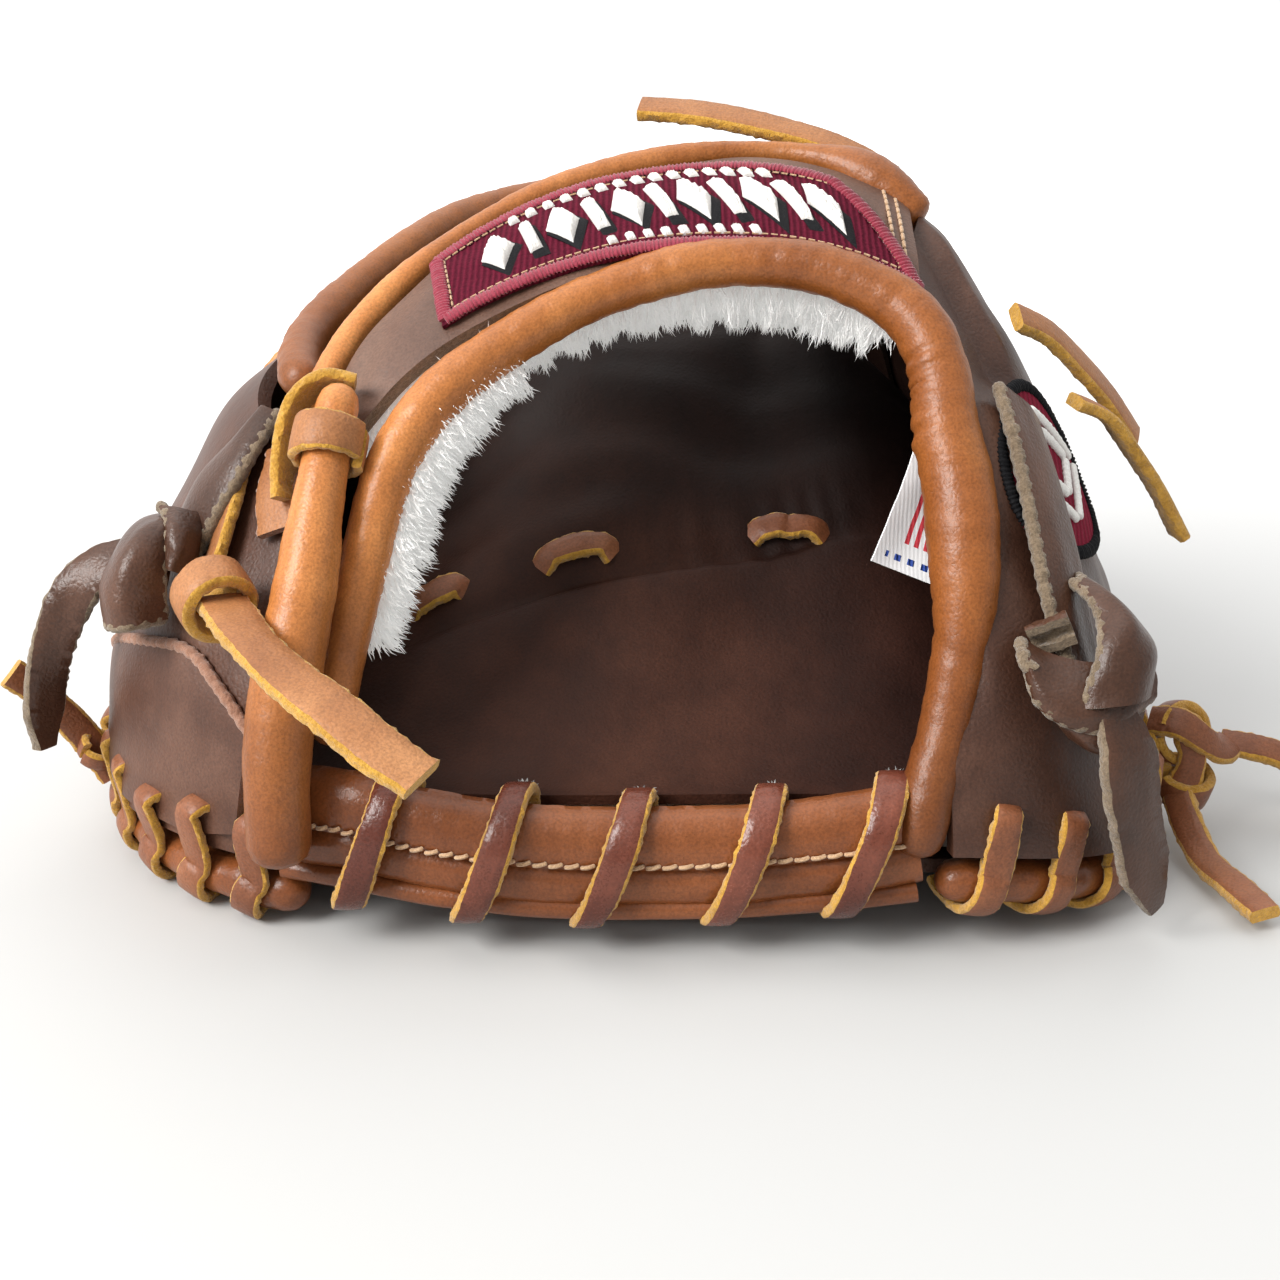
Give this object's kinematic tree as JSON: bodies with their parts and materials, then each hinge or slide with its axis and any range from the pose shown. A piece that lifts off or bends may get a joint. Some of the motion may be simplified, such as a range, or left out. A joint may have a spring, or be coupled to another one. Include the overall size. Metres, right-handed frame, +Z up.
{
  "type": "baseball catcher's mitt",
  "caption": "Left-hand leather catcher's mitt: padded palm, domed back with a wrist strap, closed web, laced rolled edges; folds along the palm crease.",
  "frame": {"origin": "middle of the footprint of the mitt without its loose lace ends, on the surface it lies on", "axes": "+Y from the heel to the finger tips, +X to the thumb side, +Z up through the back of the hand"},
  "size_m": [0.3669, 0.3213, 0.1533],
  "materials": {
    "walnut_leather": "satin",
    "lining_leather": "satin",
    "strap_leather": "satin",
    "tan_leather": "satin",
    "rawhide_lace": "satin",
    "heel_lace": "satin",
    "felt": "matte",
    "fleece": "matte",
    "patch_cloth": "matte",
    "patch_thread": "matte",
    "label_cloth": "matte"
  },
  "bodies": {
    "finger_side": {"finger_back_shell": "walnut_leather", "finger_palm_leather": "walnut_leather", "finger_palm_pad": "felt", "finger_palm_lining": "lining_leather", "finger_stall_walls": "lining_leather", "finger_edge_roll": "tan_leather", "finger_edge_laces": "rawhide_lace", "finger_welts": "tan_leather", "pinky_side_roll": "tan_leather", "pinky_overlay": "walnut_leather", "back_opening_roll": "tan_leather", "wrist_strap": "walnut_leather", "strap_roll": "tan_leather", "strap_binding": "tan_leather", "strap_fur": "fleece", "strap_patch": "patch_cloth", "strap_patch_motif": "patch_thread", "heel_binding": "tan_leather", "heel_piping": "tan_leather", "heel_laces": "heel_lace", "lining_laces": "rawhide_lace", "pinky_loop_strap": "strap_leather", "pinky_loop_knot": "strap_leather", "roll_tie_lace": "rawhide_lace", "pinky_tie_knot": "rawhide_lace", "pinky_tie_tail": "rawhide_lace", "top_lace_tail": "rawhide_lace", "pinky_rim_lace": "rawhide_lace", "web_finger_panel": "walnut_leather", "web_finger_laces": "rawhide_lace"},
    "thumb_side": {"thumb_back_shell": "walnut_leather", "thumb_palm_leather": "walnut_leather", "thumb_palm_pad": "felt", "thumb_palm_lining": "lining_leather", "thumb_edge_roll": "tan_leather", "thumb_edge_laces": "rawhide_lace", "thumb_side_roll": "tan_leather", "thumb_opening_roll": "tan_leather", "thumb_heel_binding": "tan_leather", "thumb_heel_piping": "tan_leather", "thumb_heel_laces": "heel_lace", "thumb_lining_lace": "rawhide_lace", "thumb_patch": "patch_cloth", "thumb_patch_motif": "patch_thread", "thumb_loop_strap": "strap_leather", "thumb_loop_knot": "strap_leather", "woven_label": "label_cloth", "web_thumb_panel": "walnut_leather", "web_thumb_laces": "rawhide_lace", "upper_lace_tail": "rawhide_lace", "lower_lace_tail": "rawhide_lace", "rim_lace_knot": "rawhide_lace", "long_rim_lace": "rawhide_lace", "short_rim_lace": "rawhide_lace"}
  },
  "joints": [
    {"name": "mitt_close", "type": "hinge", "parent": "finger_side", "child": "thumb_side", "pos_m": [0.0338, -0.015, 0.035], "axis": [0.1668, 0.986, 0], "range_deg": [-3, 12], "stiffness_Nm_per_rad": 4}
  ]
}
